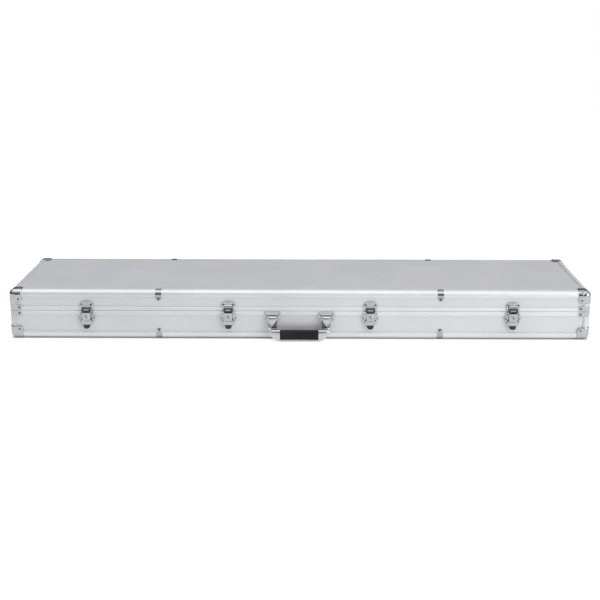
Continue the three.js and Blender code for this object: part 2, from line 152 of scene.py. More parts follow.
def washer(bm, centre, axis, section):
    """A ring about axis, from a closed section of (radius, height) pairs."""
    sides = 28
    axis = Vector(axis).normalized()
    one, two = across(axis)
    rings = []
    for i in range(sides):
        angle = 2 * math.pi * i / sides
        spoke = one * math.cos(angle) + two * math.sin(angle)
        rings.append([centre + spoke * radius + axis * height for radius, height in section])
    loft(bm, rings, closed=True)


def rod(bm, start, end, radius, sides=24, round_off=0.2 * MM):
    """A round bar with slightly rounded ends."""
    start, end = Vector(start), Vector(end)
    length = (end - start).length
    turned(bm, start, end - start, [
        (radius - round_off, 0), (radius, round_off),
        (radius, length - round_off), (radius - round_off, length),
    ], sides)


def cross_rod(bm, centre, start, end, *shape):
    """A rod along X, from start to end as measured from centre."""
    rod(bm, centre + Vector((start, 0, 0)), centre + Vector((end, 0, 0)), *shape)


def rivet(bm, place, normal, radius, height):
    """A blind rivet's domed head, with the small hollow where its mandrel broke off."""
    shape = ((1, 0), (1, 0.2), (0.93, 0.5), (0.76, 0.8), (0.52, 0.97), (0.36, 1), (0.3, 0.72))
    turned(bm, Vector(place), normal, [(radius * r, height * h) for r, h in shape], 20)


RIVETS = {"lid": [], "base": []}


def set_rivet(body, place, normal, radius=RIVET, height=1.0 * MM):
    """Notes a rivet that make_rivets will put in."""
    RIVETS[body].append((Vector(place), normal, radius, height))


def make_rivets():
    for body, spots in RIVETS.items():
        def heads(bm):
            for spot in spots:
                rivet(bm, *spot)

        piece(f"{body}_blind_rivets", heads, rivet_steel, body)


def arc(centre, radius, start, end, steps):
    """Points (a, b) on an arc, from start to end in degrees."""
    angles = [math.radians(start + (end - start) * i / steps) for i in range(steps + 1)]
    return [(centre[0] + radius * math.cos(a), centre[1] + radius * math.sin(a)) for a in angles]


def rounded(a0, a1, b0, b1, radii, steps=6):
    """A rectangle's outline with its own radius at each corner, from the low-low one round."""
    if not hasattr(radii, "__len__"):
        radii = (radii,) * 4
    corners = ((a0, b0, 1, 1, 180), (a1, b0, -1, 1, 270), (a1, b1, -1, -1, 0), (a0, b1, 1, -1, 90))
    outline = []
    for (a, b, to_a, to_b, start), radius in zip(corners, radii):
        centre = (a + to_a * radius, b + to_b * radius)
        outline += arc(centre, radius, start, start + 90, steps)
    return outline


def centred(x, half, low, high, radius, steps=6):
    """The outline of a rounded rectangle about x, the rest of it in millimetres."""
    return rounded(x - half * MM, x + half * MM, low * MM, high * MM, radius * MM, steps)


def resampled(path, spacing):
    """The same path with points no further apart than spacing."""
    points = [Vector(path[0])]
    for start, end in zip(path, path[1:]):
        start, end = Vector(start), Vector(end)
        count = max(1, math.ceil((end - start).length / spacing))
        points += [start.lerp(end, (i + 1) / count) for i in range(count)]
    return points


def ribbon(bm, path, edges, thickness, place, soft=0.25 * MM):
    """Bent sheet metal: path is the (p, q) line of its inner face, edges(s, length, point) gives
    its two sides at a point s along it, and place(w, p, q) puts width and path in space."""
    path = [Vector(point) for point in path]
    travelled = [0.0]
    for start, end in zip(path, path[1:]):
        travelled.append(travelled[-1] + (end - start).length)
    rings = []
    for i, point in enumerate(path):
        ahead, back = path[min(i + 1, len(path) - 1)], path[max(i - 1, 0)]
        run = (ahead - back).normalized()
        normal = Vector((-run.y, run.x))
        low, high = edges(travelled[i], travelled[-1], point)
        chamfer = min(soft, (high - low) / 3)
        levels = (
            (low, 0), (high, 0), (high, thickness - soft), (high - chamfer, thickness),
            (low + chamfer, thickness), (low, thickness - soft),
        )
        rings.append([place(w, *(point + normal * depth)) for w, depth in levels])
    loft(bm, rings)


def round_ends(centre, half, start=True):
    """Edges for a ribbon of width 2 * half with a round end, and a round start if it is asked."""
    least = 0.12 * half

    def edges(s, length, _point):
        from_end = min(s, length - s) if start else length - s
        short = max(half - from_end, 0)
        reach = math.sqrt(max(half * half - short ** 2, least * least))
        return centre - reach, centre + reach

    return edges


def swept_round_plan(bm, section):
    """A closed band round the case's plan outline, from a section of (inset, z) points."""
    steps = 8
    rings = []
    for corner_x, corner_y, start in ((1, 1, 0), (-1, 1, 90), (-1, -1, 180), (1, -1, 270)):
        for i in range(steps + 1):
            angle = math.radians(start + 90 * i / steps)
            ring = []
            for inset, z in section:
                radius = max(EDGE_RADIUS - inset, 0.3 * MM)
                x = (RIGHT - inset - radius) * corner_x + radius * math.cos(angle)
                half = (REAR - FRONT) / 2 - inset - radius
                y = (FRONT + REAR) / 2 + half * corner_y + radius * math.sin(angle)
                ring.append(Vector((x, y, z)))
            rings.append(ring)
    loft(bm, rings, closed=True)


def grid_faces(bm, grid):
    """Faces between the neighbours in a grid of vertices."""
    for row, following in zip(grid, grid[1:]):
        for j in range(len(row) - 1):
            bm.faces.new((row[j], following[j], following[j + 1], row[j + 1]))


def face_away(bm, inside):
    """Turns every face of an open sheet away from the point inside."""
    for face in bm.faces:
        face.normal_update()
        if face.normal.dot(face.calc_center_median() - inside) < 0:
            face.normal_flip()


def piece(name, build, material, body, nodes=(), bevel=0.0, crease=32, inside=None):
    """Makes one object from what build puts into a bmesh, smooth but for its sharp edges. inside
    is given for open sheets only: a point that their faces look away from."""
    bm = bmesh.new()
    build(bm)
    if inside is None:
        bmesh.ops.recalc_face_normals(bm, faces=bm.faces)
    else:
        face_away(bm, inside)
    for face in bm.faces:
        face.smooth = True
    for edge in bm.edges:
        if len(edge.link_faces) == 2 and edge.calc_face_angle(0) > math.radians(crease):
            edge.smooth = False
    mesh = bpy.data.meshes.new(name)
    bm.to_mesh(mesh)
    bm.free()
    obj = bpy.data.objects.new(name, mesh)
    bpy.context.scene.collection.objects.link(obj)
    obj.data.materials.append(material)
    if bevel:
        rounding = obj.modifiers.new("soft_edges", "BEVEL")
        rounding.width = bevel
        rounding.segments = 2
        rounding.limit_method = "ANGLE"
        rounding.angle_limit = math.radians(crease)
        rounding.harden_normals = True
    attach(obj, body)
    if nodes:
        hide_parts(*nodes)
    return obj


# ---------------- materials

def filled(tree, node, values):
    """Sets a node's named inputs, each to a value, a colour or another node's output."""
    for name, value in values.items():
        socket = node.inputs[name]
        if isinstance(value, bpy.types.NodeSocket):
            tree.links.new(value, socket)
        else:
            socket.default_value = (*value, 1) if socket.type == "RGBA" else value
    return node


def added(tree, kind, values=()):
    return filled(tree, tree.nodes.new("ShaderNode" + kind), dict(values))


def blank(name, colour, metallic, roughness):
    material = bpy.data.materials.new(name)
    material.use_nodes = True
    tree = material.node_tree
    shader = filled(tree, tree.nodes["Principled BSDF"], {
        "Base Color": colour, "Metallic": metallic, "Roughness": roughness})
    return material, tree, shader


def noise(tree, scale, detail, stretch=(1, 1, 1)):
    """Noise in the piece's own metres, stretched along the axes where stretch is small."""
    place = added(tree, "TexCoord").outputs["Object"]
    mapping = added(tree, "Mapping", {"Vector": place, "Scale": stretch})
    texture = added(tree, "TexNoise", {
        "Vector": mapping.outputs["Vector"], "Scale": scale, "Detail": detail, "Roughness": 0.55})
    return texture.outputs["Fac"]


def ranged(tree, value, low=0, high=1, start=0.3, end=0.7):
    """value brought from start..end to low..high, and held there."""
    node = added(tree, "MapRange", {
        "Value": value, "From Min": start, "From Max": end, "To Min": low, "To Max": high})
    return node.outputs["Result"]


def mixed(tree, factor, under, over):
    """under where factor is 0 and over where it is 1, each a colour or a node's output."""
    node = tree.nodes.new("ShaderNodeMix")
    node.data_type = "RGBA"
    return filled(tree, node, {"Factor": factor, "A": under, "B": over}).outputs["Result"]


def bumped(tree, shader, height, distance, strength=1.0, under=None):
    """Bumps a shader's surface, on top of an earlier bump if under is given."""
    node = added(tree, "Bump", {"Height": height, "Distance": distance, "Strength": strength})
    if under:
        filled(tree, node, {"Normal": under})
    filled(tree, shader, {"Normal": node.outputs["Normal"]})
    return node.outputs["Normal"]


def shaded(colour, factor):
    return tuple(channel * factor for channel in colour)


def brushed(name, colour, roughness, along, metallic=1.0, contrast=0.05):
    """Metal or metal foil with fine lines along one axis and slow cloudy variation."""
    material, tree, shader = blank(name, colour, metallic, roughness)
    stretch = {"x": (0.02, 1, 1), "y": (1, 0.02, 1), "z": (1, 1, 0.02)}[along]
    lines = noise(tree, 1600, 3, stretch)
    clouds = noise(tree, 7, 3)
    blend = added(tree, "Math")
    blend.operation = "ADD"
    tree.links.new(ranged(tree, lines, -0.5, 0.5), blend.inputs[0])
    tree.links.new(ranged(tree, clouds), blend.inputs[1])
    dark, light = shaded(colour, 1 - contrast), shaded(colour, 1 + contrast)
    filled(tree, shader, {
        "Base Color": mixed(tree, blend.outputs["Value"], dark, light),
        "Roughness": ranged(tree, lines, roughness * 0.85, roughness * 1.2)})
    bumped(tree, shader, lines, 0.02 * MM)
    return material


def chromed(name, colour, roughness):
    """Bright plating with faint smears, fine scuffs and slightly wavy metal under it."""
    material, tree, shader = blank(name, colour, 1.0, roughness)
    smears = noise(tree, 60, 5)
    scuffs = noise(tree, 900, 4, (1, 0.4, 0.25))
    filled(tree, shader, {
        "Base Color": mixed(tree, ranged(tree, smears), shaded(colour, 0.93), colour),
        "Roughness": ranged(tree, scuffs, roughness * 0.85, roughness * 1.25)})
    bumped(tree, shader, noise(tree, 110, 2), 0.05 * MM)
    return material


def moulded_black():
    """Grained black plastic with a slight sheen on its rubbed high spots."""
    colour = (0.012, 0.011, 0.013)
    material, tree, shader = blank("moulded_black_plastic", colour, 0.0, 0.45)
    wear = noise(tree, 45, 4)
    rubbed = ranged(tree, wear, 0, 1, 0.45, 0.75)
    filled(tree, shader, {
        "Base Color": mixed(tree, rubbed, colour, (0.022, 0.02, 0.022)),
        "Roughness": ranged(tree, wear, 0.38, 0.55),
        "Specular IOR Level": 0.14})
    bumped(tree, shader, noise(tree, 1500, 5), 0.08 * MM, 0.7)
    return material


def open_cell_foam():
    """Charcoal foam: pores over a slow change of tone, without gloss."""
    material, tree, shader = blank("charcoal_foam", (0.03, 0.03, 0.034), 0.0, 0.95)
    place = added(tree, "TexCoord").outputs["Object"]
    pores = added(tree, "TexVoronoi", {"Vector": place, "Scale": 900})
    mottle = noise(tree, 350, 5)
    tone = mixed(tree, ranged(tree, mottle), (0.018, 0.018, 0.021), (0.05, 0.05, 0.056))
    filled(tree, shader, {"Base Color": tone, "Specular IOR Level": 0.15})
    under = bumped(tree, shader, pores.outputs["Distance"], 0.5 * MM, 0.8)
    bumped(tree, shader, mottle, 0.5 * MM, 0.6, under)
    return material


def dark_recess():
    """Near-black with a faint speckle: painted shade for the inside of a keyhole."""
    material, tree, shader = blank("lock_recess", (0.01, 0.01, 0.012), 0.3, 0.5)
    speckle = noise(tree, 1800, 3)
    tone = mixed(tree, ranged(tree, speckle), (0.006, 0.006, 0.008), (0.03, 0.03, 0.034))
    filled(tree, shader, {"Base Color": tone})
    bumped(tree, shader, speckle, 0.05 * MM)
    return material


ALUMINIUM = (0.66, 0.665, 0.68)
LAMINATE = (0.59, 0.592, 0.612)
CHROME = (0.44, 0.443, 0.45)
STEEL = (0.50, 0.505, 0.51)
HANDLE_CHROME = (0.52, 0.523, 0.53)
# The clips' plating is a darker copy of the chrome: painted shade for the shadowed floor near the
# case that they reflect.
SHADED_CLIP_CHROME = (0.37, 0.37, 0.375)
# The rivet heads are near-black: painted shade round the rivets.
DARK_STEEL = (0.15, 0.15, 0.155)
# Near-black steel behind the arms' cut-aways: painted shade.
CUTAWAY_SHADE_STEEL = (0.10, 0.112, 0.112)

alu_x = brushed("extrusion_along_x", ALUMINIUM, 0.5, "x", metallic=0.6)
alu_y = brushed("extrusion_along_y", ALUMINIUM, 0.5, "y", metallic=0.6)
# The corner posts take a copy of the aluminium at 0.86 of its brightness: painted shade for the
# darker sides that they reflect.
shaded_alu_z = brushed("extrusion_along_z", shaded(ALUMINIUM, 0.86), 0.5, "z", metallic=0.6)
laminate = brushed("silver_laminate", LAMINATE, 0.45, "x", metallic=0.35, contrast=0.035)
chrome = chromed("bright_chrome", CHROME, 0.09)
corner_chrome = chromed("corner_plating", CHROME, 0.13)
handle_chrome = chromed("handle_plating", HANDLE_CHROME, 0.3)
shaded_clip_chrome = chromed("clip_plating", SHADED_CLIP_CHROME, 0.12)
steel = brushed("zinc_plated_steel", STEEL, 0.32, "x", contrast=0.08)
rivet_steel = chromed("rivet_steel", DARK_STEEL, 0.3)
cutaway_shade_steel = chromed("arm_core_steel", CUTAWAY_SHADE_STEEL, 0.3)
grip_black = moulded_black()
foam_grey = open_cell_foam()
recess = dark_recess()


# ---------------- shell

def board_materials():
    """The flat boards keep their CAD shape and take the laminate."""
    for name, obj in frame["nodes"].items():
        if name.endswith(("_board", "_panel")):
            obj.data.materials.clear()
            obj.data.materials.append(laminate)


def edge_section():
    """An edge extrusion's section as (inset from the side, depth from the flat) points."""
    groove_at, groove = 13.9 * MM, 0.45 * MM
    radius = EDGE_RADIUS
    flat = [
        (FLANGE, SHEET), (FLANGE, LIP), (FLANGE - LIP, 0), (groove_at + groove, 0),
        (groove_at, groove), (groove_at - groove, 0),
    ]
    outer = arc((radius, radius), radius, 270, 180, 10)
    inner = arc((radius, radius), radius - SHEET, 180, 270, 6)
    mirrored = [(b, a) for a, b in reversed(flat)]
    return flat + outer + mirrored + inner


def flat_face(half):
    """The height of a half's flat outer face, and the way from it into the case."""
    return (TOP, -1) if half == "lid" else (BOTTOM, 1)


def rails(half, along_x):
    """The two straight extrusions of one half that run along X, or along Y."""
    flat, inward = flat_face(half)
    walls, ends = (FRONT, REAR), (LEFT, RIGHT)
    if not along_x:
        walls, ends = ends, walls

    def build(bm):
        for side, wall in zip((-1, 1), walls):
            def place(inset, depth, along):
                over, z = wall - side * inset, flat + inward * depth
                return Vector((along, over, z) if along_x else (over, along, z))

            prism(bm, edge_section(), place, ends[0] + RAIL_END, ends[1] - RAIL_END)

    return build


def corner_posts(half):
    """The short upright extrusions at the four corners of one half."""
    if half == "lid":
        low, high = PARTING + MOUTH_GAP + LID_VALANCE, TOP - RAIL_END
    else:
        low, high = BOTTOM + RAIL_END, PARTING - MOUTH_GAP - BASE_VALANCE

    def build(bm):
        for side_x, wall_x in ((-1, LEFT), (1, RIGHT)):
            for side_y, wall_y in ((-1, FRONT), (1, REAR)):
                def place(a, b, z):
                    return Vector((wall_x - side_x * a, wall_y - side_y * b, z))

                prism(bm, edge_section(), place, low, high)

    return build


def base_valance(bm):
    """The band round the base's mouth, with the tongue that enters the lid's groove."""
    high = PARTING - MOUTH_GAP
    low = high - BASE_VALANCE
    tongue_in, tongue_out, tongue_top = 3 * MM, 4.5 * MM, high + 3.7 * MM
    middle, line = (low + high) / 2, 0.3 * MM
    section = [
        (SHEET, low), (LIP, low), (0, low + LIP), (0, middle - LIP), (line, middle),
        (0, middle + LIP), (0, high - LIP), (LIP, high), (tongue_in, high),
        (tongue_in, tongue_top - LIP), (tongue_in + LIP, tongue_top), (tongue_out, tongue_top),
        (tongue_out, high), (LINER_OUT, high), (LINER_OUT, low - LINER_LAP),
        (LINER_IN, low - LINER_LAP), (LINER_IN, high - SHEET), (SHEET, high - SHEET),
    ]
    swept_round_plan(bm, section)


def lid_valance(bm):
    """The band round the lid's mouth, with the groove that the tongue enters."""
    low = PARTING + MOUTH_GAP
    high = low + LID_VALANCE
    web = low + 4.1 * MM
    middle, line = (low + high) / 2, 0.3 * MM
    section = [
        (SHEET, high), (LIP, high), (0, high - LIP), (0, middle + LIP), (line, middle),
        (0, middle - LIP), (0, low + LIP), (LIP, low), (SHEET, low), (SHEET, web),
        (LINER_IN, web), (LINER_IN, low), (LINER_OUT, low), (LINER_OUT, high + LINER_LAP),
        (LINER_IN, high + LINER_LAP), (LINER_IN, web + SHEET), (SHEET, web + SHEET),
    ]
    swept_round_plan(bm, section)


def make_shell():
    board_materials()
    for half in ("lid", "base"):
        piece(f"{half}_long_extrusions", rails(half, True), alu_x, half,
              [f"{half}_edge_frame"])
        piece(f"{half}_end_extrusions", rails(half, False), alu_y, half)
        # the corner posts get the darker aluminium: painted shade
        piece(f"{half}_corner_posts", corner_posts(half), shaded_alu_z, half)
    for half, valance in (("base", base_valance), ("lid", lid_valance)):
        piece(f"{half}_mouth_extrusion", valance, alu_x, half, [f"{half}_valance"])


# ---------------- ball corners, braces, clips

def corner_point(corner, inward, spans, face):
    """A point on a ball corner's rounded skin. spans are the distances from the three outer
    planes of the corner, and face is the plane that the point lies on."""
    point, core = [], []
    for k in range(3):
        distance = 0.0 if k == face else spans[k]
        point.append(corner[k] + inward[k] * distance)
        core.append(corner[k] + inward[k] * max(distance, CORNER_RADIUS))
    direction = (Vector(point) - Vector(core)).normalized()
    return Vector(core) + direction * CORNER_RADIUS, direction


def corner_ticks():
    """Distances along a tab: dense over the rounding, then even to the end."""
    bend = [CORNER_RADIUS * i / 8 for i in range(8)]
    rest = [CORNER_RADIUS + (CORNER_LEG - CORNER_RADIUS) * i / 8 for i in range(9)]
    return bend + rest


def round_off_tab(u, v):
    """Moves a tab's free corner in, from a square to a quarter circle."""
    start = CORNER_LEG - TAB_RADIUS
    if u <= start or v <= start:
        return u, v
    a, b = (u - start) / TAB_RADIUS, (v - start) / TAB_RADIUS
    return (start + TAB_RADIUS * a * math.sqrt(1 - b * b / 2),
            start + TAB_RADIUS * b * math.sqrt(1 - a * a / 2))


def stamped_depth(u, v):
    """The pressed ring that parts the ball from its three tabs."""
    ring, width, depth = 19 * MM, 1.6 * MM, 0.45 * MM
    return depth * math.exp(-(((math.hypot(u, v) - ring) / width) ** 2))


def ball_corner(corner, inward):
    """The three tabs of a ball corner as one open sheet, joined over its rounding."""
    def build(bm):
        ticks = corner_ticks()
        for face in range(3):
            i, j = [k for k in range(3) if k != face]
            grid = []
            for u_flat in ticks:
                row = []
                for v_flat in ticks:
                    spans = [0.0, 0.0, 0.0]
                    spans[i], spans[j] = round_off_tab(u_flat, v_flat)
                    point, normal = corner_point(corner, inward, spans, face)
                    point -= normal * stamped_depth(spans[i], spans[j])
                    row.append(bm.verts.new(point))
                grid.append(row)
            grid_faces(bm, grid)
        bmesh.ops.remove_doubles(bm, verts=bm.verts, dist=0.001 * MM)

    return build


def outer_corner(side_x, side_y, half):
    """A ball corner's outermost point and the directions back into the case."""
    proud = CORNER_TOP - TOP
    corner = Vector((
        RIGHT + proud if side_x > 0 else LEFT - proud,
        REAR + proud if side_y > 0 else FRONT - proud,
        TOP + proud if half == "lid" else BOTTOM - proud,
    ))
    return corner, Vector((-side_x, -side_y, -1 if half == "lid" else 1))


def make_ball_corner(half, place, side_x, side_y):
    corner, inward = outer_corner(side_x, side_y, half)
    name = f"{half}_ball_corner_{place}"
    obj = piece(name, ball_corner(corner, inward), corner_chrome, half,
                [f"{half}_corner_{place}"], crease=60, inside=corner + inward * CORNER_LEG)
    wall = obj.modifiers.new("sheet", "SOLIDIFY")
    wall.thickness = PLATE
    wall.offset = -1
    rivet_at = 22.5 * MM
    for face in range(3):
        if half == "base" and face == 2:
            continue
        spot = [corner[k] + (0.0 if k == face else inward[k] * rivet_at) for k in range(3)]
        normal = Vector([-inward[k] if k == face else 0.0 for k in range(3)])
        set_rivet(half, Vector(spot) - normal * RIVET_SUNK, normal)


def brace(half, side_x, side_y):
    """A small angle plate round one upright edge, next to the parting line."""
    reach, half_width, rivet_at = 30 * MM, 6.1 * MM, 22.8 * MM
    middle = PARTING + 6.6 * MM if half == "lid" else PARTING - 6.8 * MM
    corner_x = RIGHT if side_x > 0 else LEFT
    corner_y = REAR if side_y > 0 else FRONT
    bend = arc((EDGE_RADIUS, EDGE_RADIUS), EDGE_RADIUS + GAP, 270, 180, 10)
    path = resampled([(reach, -GAP)] + bend + [(-GAP, reach)], 1.2 * MM)

    def build(bm):
        def place(w, p, q):
            return Vector((corner_x - side_x * p, corner_y - side_y * q, w))

        ribbon(bm, path, round_ends(middle, half_width), -PLATE, place)

    proud = GAP + PLATE - RIVET_SUNK
    set_rivet(half, (corner_x - side_x * rivet_at, corner_y + side_y * proud, middle),
              (0, side_y, 0))
    set_rivet(half, (corner_x + side_x * proud, corner_y - side_y * rivet_at, middle),
              (side_x, 0, 0))
    return build


def clip(half, x, side_y):
    """An edge clip: over the extrusion's rounding, down on to the boards on both sides."""
    flat, inward = flat_face(half)
    wall = FRONT if side_y < 0 else REAR
    on_board = STEP - 0.2 * MM
    reach, rivet_at = 25 * MM, 21 * MM
    line = [
        (FLANGE + 1.3 * MM, on_board), (FLANGE + 0.9 * MM, -GAP * 0.3), (FLANGE + 0.2 * MM, -GAP),
    ]
    line += arc((EDGE_RADIUS, EDGE_RADIUS), EDGE_RADIUS + GAP, 270, 180, 12)
    line += [(-GAP, FLANGE - 0.4 * MM), (-GAP * 0.5, FLANGE + 0.7 * MM)]
    line += [(on_board, FLANGE + 2.2 * MM), (on_board, reach)]
    path = resampled(line, 0.9 * MM)

    def build(bm):
        def place(w, p, q):
            return Vector((w, wall - side_y * p, flat + inward * q))

        ribbon(bm, path, round_ends(x, CLIP_HALF, start=False), -PLATE, place)

    face_y = wall - side_y * (on_board - PLATE + RIVET_SUNK)
    set_rivet(half, (x, face_y, flat + inward * rivet_at), (0, side_y, 0), 2.8 * MM)
    return build


def make_hardware():
    for side_y, row in ((-1, "front"), (1, "rear")):
        for side_x, column in ((-1, "left"), (1, "right")):
            for half in ("lid", "base"):
                make_ball_corner(half, f"{row}_{column}", side_x, side_y)
                piece(f"{half}_corner_brace_{row}_{column}", brace(half, side_x, side_y),
                      corner_chrome, half)
                piece(f"{half}_edge_clip_{row}_{column}", clip(half, side_x * CLIP_X, side_y),
                      shaded_clip_chrome, half)


# ---------------- hinges

def hinge_leaf(x, on_lid):
    """A riveted leaf: the plate, its pressed pad, and its knuckles round the pin."""
    side = 1 if on_lid else -1
    half_width, knuckle = 32 * MM, 11 * MM
    near, far, sheet = GAP, 28.2 * MM, 1.5 * MM
    axis_out = HINGE_Y - REAR
    knuckles = [(-knuckle, knuckle)] if on_lid else [
        (-half_width, -knuckle - GAP), (knuckle + GAP, half_width)]

    def place(a, b, c):
        return behind(a, PARTING + side * b, c)

    def build(bm):
        plate = rounded(x - half_width, x + half_width, 3.6 * MM, far,
                        (0.3 * MM, 0.3 * MM, 5 * MM, 5 * MM))
        prism(bm, plate, place, near, near + sheet)
        pad_half, pad_low = half_width - 4 * MM, 9.9 * MM if on_lid else 10.7 * MM
        pad = rounded(x - pad_half, x + pad_half, pad_low, far - 1 * MM, 1 * MM)
        prism(bm, pad, place, GAP - STEP, near + 0.2 * MM)
        for start, end in knuckles:
            hollow_barrel(bm, x + start, x + end, axis_out)
            neck = [(start, 0.5 * MM), (end, 0.5 * MM), (end, 4.2 * MM), (start, 4.2 * MM)]
            prism(bm, [(x + a, b) for a, b in neck], place, near, near + sheet)

    for a in (-22, -7, 7, 22):
        spot = behind(x + a * MM, PARTING + side * 19 * MM, near + sheet - RIVET_SUNK)
        set_rivet("lid" if on_lid else "base", spot, (0, 1, 0), 2.4 * MM, 0.9 * MM)
    return build


def hollow_barrel(bm, x0, x1, out):
    """A hinge knuckle: a short tube along X."""
    radius, hole, soft = 3.2 * MM, 1.9 * MM, 0.25 * MM
    length = x1 - x0
    washer(bm, behind(x0, PARTING, out), (1, 0, 0), [
        (hole, 0), (radius - soft, 0), (radius, soft), (radius, length - soft),
        (radius - soft, length), (hole, length)])


def hinge_pin(x):
    def build(bm):
        axis = Vector((x, HINGE_Y, PARTING))
        reach, head = 32.3 * MM, 1.2 * MM
        cross_rod(bm, axis, -(reach + head), reach + head, 1.6 * MM)
        for side in (-1, 1):
            turned(bm, axis + Vector((side * reach, 0, 0)), (side, 0, 0),
                   in_mm([(2.3, 0), (2.6, 0.3), (2.3, 0.9), (1.2, 1.2)]))

    return build


def make_hinges():
    for place in HINGES:
        low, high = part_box(f"hinge_{place}_pin")
        x = (low[0] + high[0]) / 2
        for half, name in (("lid", "upper"), ("base", "lower")):
            piece(f"hinge_leaf_{name}_{place}", hinge_leaf(x, half == "lid"), steel, half,
                  [f"hinge_{place}_{half}_leaf"], bevel=0.2 * MM)
        piece(f"hinge_pintle_{place}", hinge_pin(x), steel, "base",
              [f"hinge_{place}_pin"])


# ---------------- draw latches

PIVOT = (5, 62)  # the lever's pivot on the base: out and z in millimetres
LINK = (5, 53)  # the hook's pivot on the lever
LOCK_Z = 55.2


def side_plate(bm, points, x0, x1):
    """A plate seen from the side, from (out, z) points in millimetres."""
    prism(bm, in_mm(points), lambda out, z, x: facing(x, z, out), *sorted((x0, x1)))


def front_plate(bm, outline, out0, out1):
    prism(bm, outline, facing, out0, out1)


def keeper(x):
    """The lid's catch: a riveted plate, the shelf that the hook draws on, and a pressed boss."""
    half, foot = 15.5 * MM, 72.5 * MM
    arch = [(x + half * a, 82 * MM + 8 * MM * b) for a, b in arc((0, 0), 1, 0, 180, 20)]

    def build(bm):
        front_plate(bm, [(x - half, foot), (x + half, foot)] + arch, GAP, 1.5 * MM)
        front_plate(bm, centred(x, 12, 77.6, 87, 2), GAP - STEP, 0.5 * MM)
        front_plate(bm, centred(x, 8, 72.5, 75.8, 0.5, 3), 1.3 * MM, 3.2 * MM)
        front_plate(bm, centred(x, 6.2, 79, 87.6, 3.6), 1.3 * MM, 2.5 * MM)
        dome = [(2.2, 0), (2.2, 0.6), (1.7, 1.1), (0.6, 1.3)]
        turned(bm, at_mm(x, 2.4, 83.4), AHEAD, in_mm(dome))

    for side in (-1, 1):
        set_rivet("lid", at_mm(x + side * 11.7 * MM, 1.4, 82.5), AHEAD, 2.4 * MM)
    return build


def latch_base(x):
    """The plate on the base, with side cheeks and the ears of the lever's pivot."""
    flank = [(6, 38), (11, 39), (15, 42), (17.4, 46.6), (18, 50.8), (17.3, 55.2), (15.9, 60),
             (15.5, 66.4)]
    cheek = [(1, 40.5), (4.6, 41.8), (6.6, 44.2), (7.5, 47.6), (7.5, 62), (6.8, 64.8), (4.6, 66.6),
             (1, 66.6)]
    ear = [(1, 56)] + arc(PIVOT, 2.5, -50, 110, 8) + [(1, 63.5)]
    outline = [(x + a, b) for a, b in in_mm(flank)] + [(x - a, b) for a, b in in_mm(flank[::-1])]

    def build(bm):
        front_plate(bm, outline, GAP, 1.5 * MM)
        front_plate(bm, centred(x, 12.5, 41, 56.9, 2), GAP - STEP, 0.5 * MM)
        for side in (-1, 1):
            side_plate(bm, cheek, x + side * 12.6 * MM, x + side * 14.2 * MM)
            side_plate(bm, ear, x + side * 6 * MM, x + side * 7.2 * MM)

    for side in (-1, 1):
        set_rivet("base", at_mm(x + side * 16 * MM, 1.4, 50.4), AHEAD, 1.7 * MM)
    return build


def lever_half_width(z):
    """Half the lever's width at the height z: lock plate, wings, then the round finger tab."""
    plate, wing, tab = 9.2 * MM, 12.2 * MM, 8.1 * MM
    plate_low, wing_top, wing_low, tab_top, tab_low = (
        47.6 * MM, 45.4 * MM, 38.5 * MM, 32.5 * MM, 25.7 * MM)
    if z > plate_low:
        return plate
    if z > wing_top:
        return plate + (wing - plate) * (plate_low - z) / (plate_low - wing_top)
    if z > wing_low:
        return wing
    if z > tab_top:
        t = (wing_low - z) / (wing_low - tab_top)
        return wing + (tab - wing) * (3 * t * t - 2 * t * t * t)
    squareness = 2.6
    rest = min(1 - (z - tab_low) / tab, 0.999)
    return max(tab * (1 - rest ** squareness) ** (1 / squareness), 0.3 * tab)


def lever(x):
    """The finger lever: a bent plate with side flanges, the raised lock plate and pivots."""
    line = [(8, 64), (8, 48.8), (7.2, 46.6), (5, 43.8), (3.9, 40.6), (3.7, 38), (4.1, 34.6),
            (5.1, 31.2), (6.1, 28.4), (7, 25.7)]
    flange = [(8.6, 63.6), (8.6, 49.2), (3.4, 50.6), (2.8, 53), (2.6, 62), (3.2, 63.6)]
    collar = [(5.6, 0), (5.6, 0.4), (5.2, 0.7), (4.4, 0.7), (4.4, 0)]

    def edges(_s, _length, point):
        half = lever_half_width(point.y)
        return x - half, x + half

    def build(bm):
        path = resampled(in_mm(line), 0.5 * MM)
        ribbon(bm, path, edges, 1.5 * MM, lambda w, out, z: facing(w, z, out), 0.35 * MM)
        front_plate(bm, centred(x, 8.2, 49.4, 63, 1.8), 9.3 * MM, 9.8 * MM)
        washer(bm, at_mm(x, 9.6, LOCK_Z), AHEAD, in_mm(collar))
        for side in (-1, 1):
            near = x + side * 8 * MM
            side_plate(bm, flange, near, near + side * 1.2 * MM)
            cross_rod(bm, at_mm(x, *PIVOT), side * 5.4 * MM, side * 9.4 * MM, 1.5 * MM)

    return build


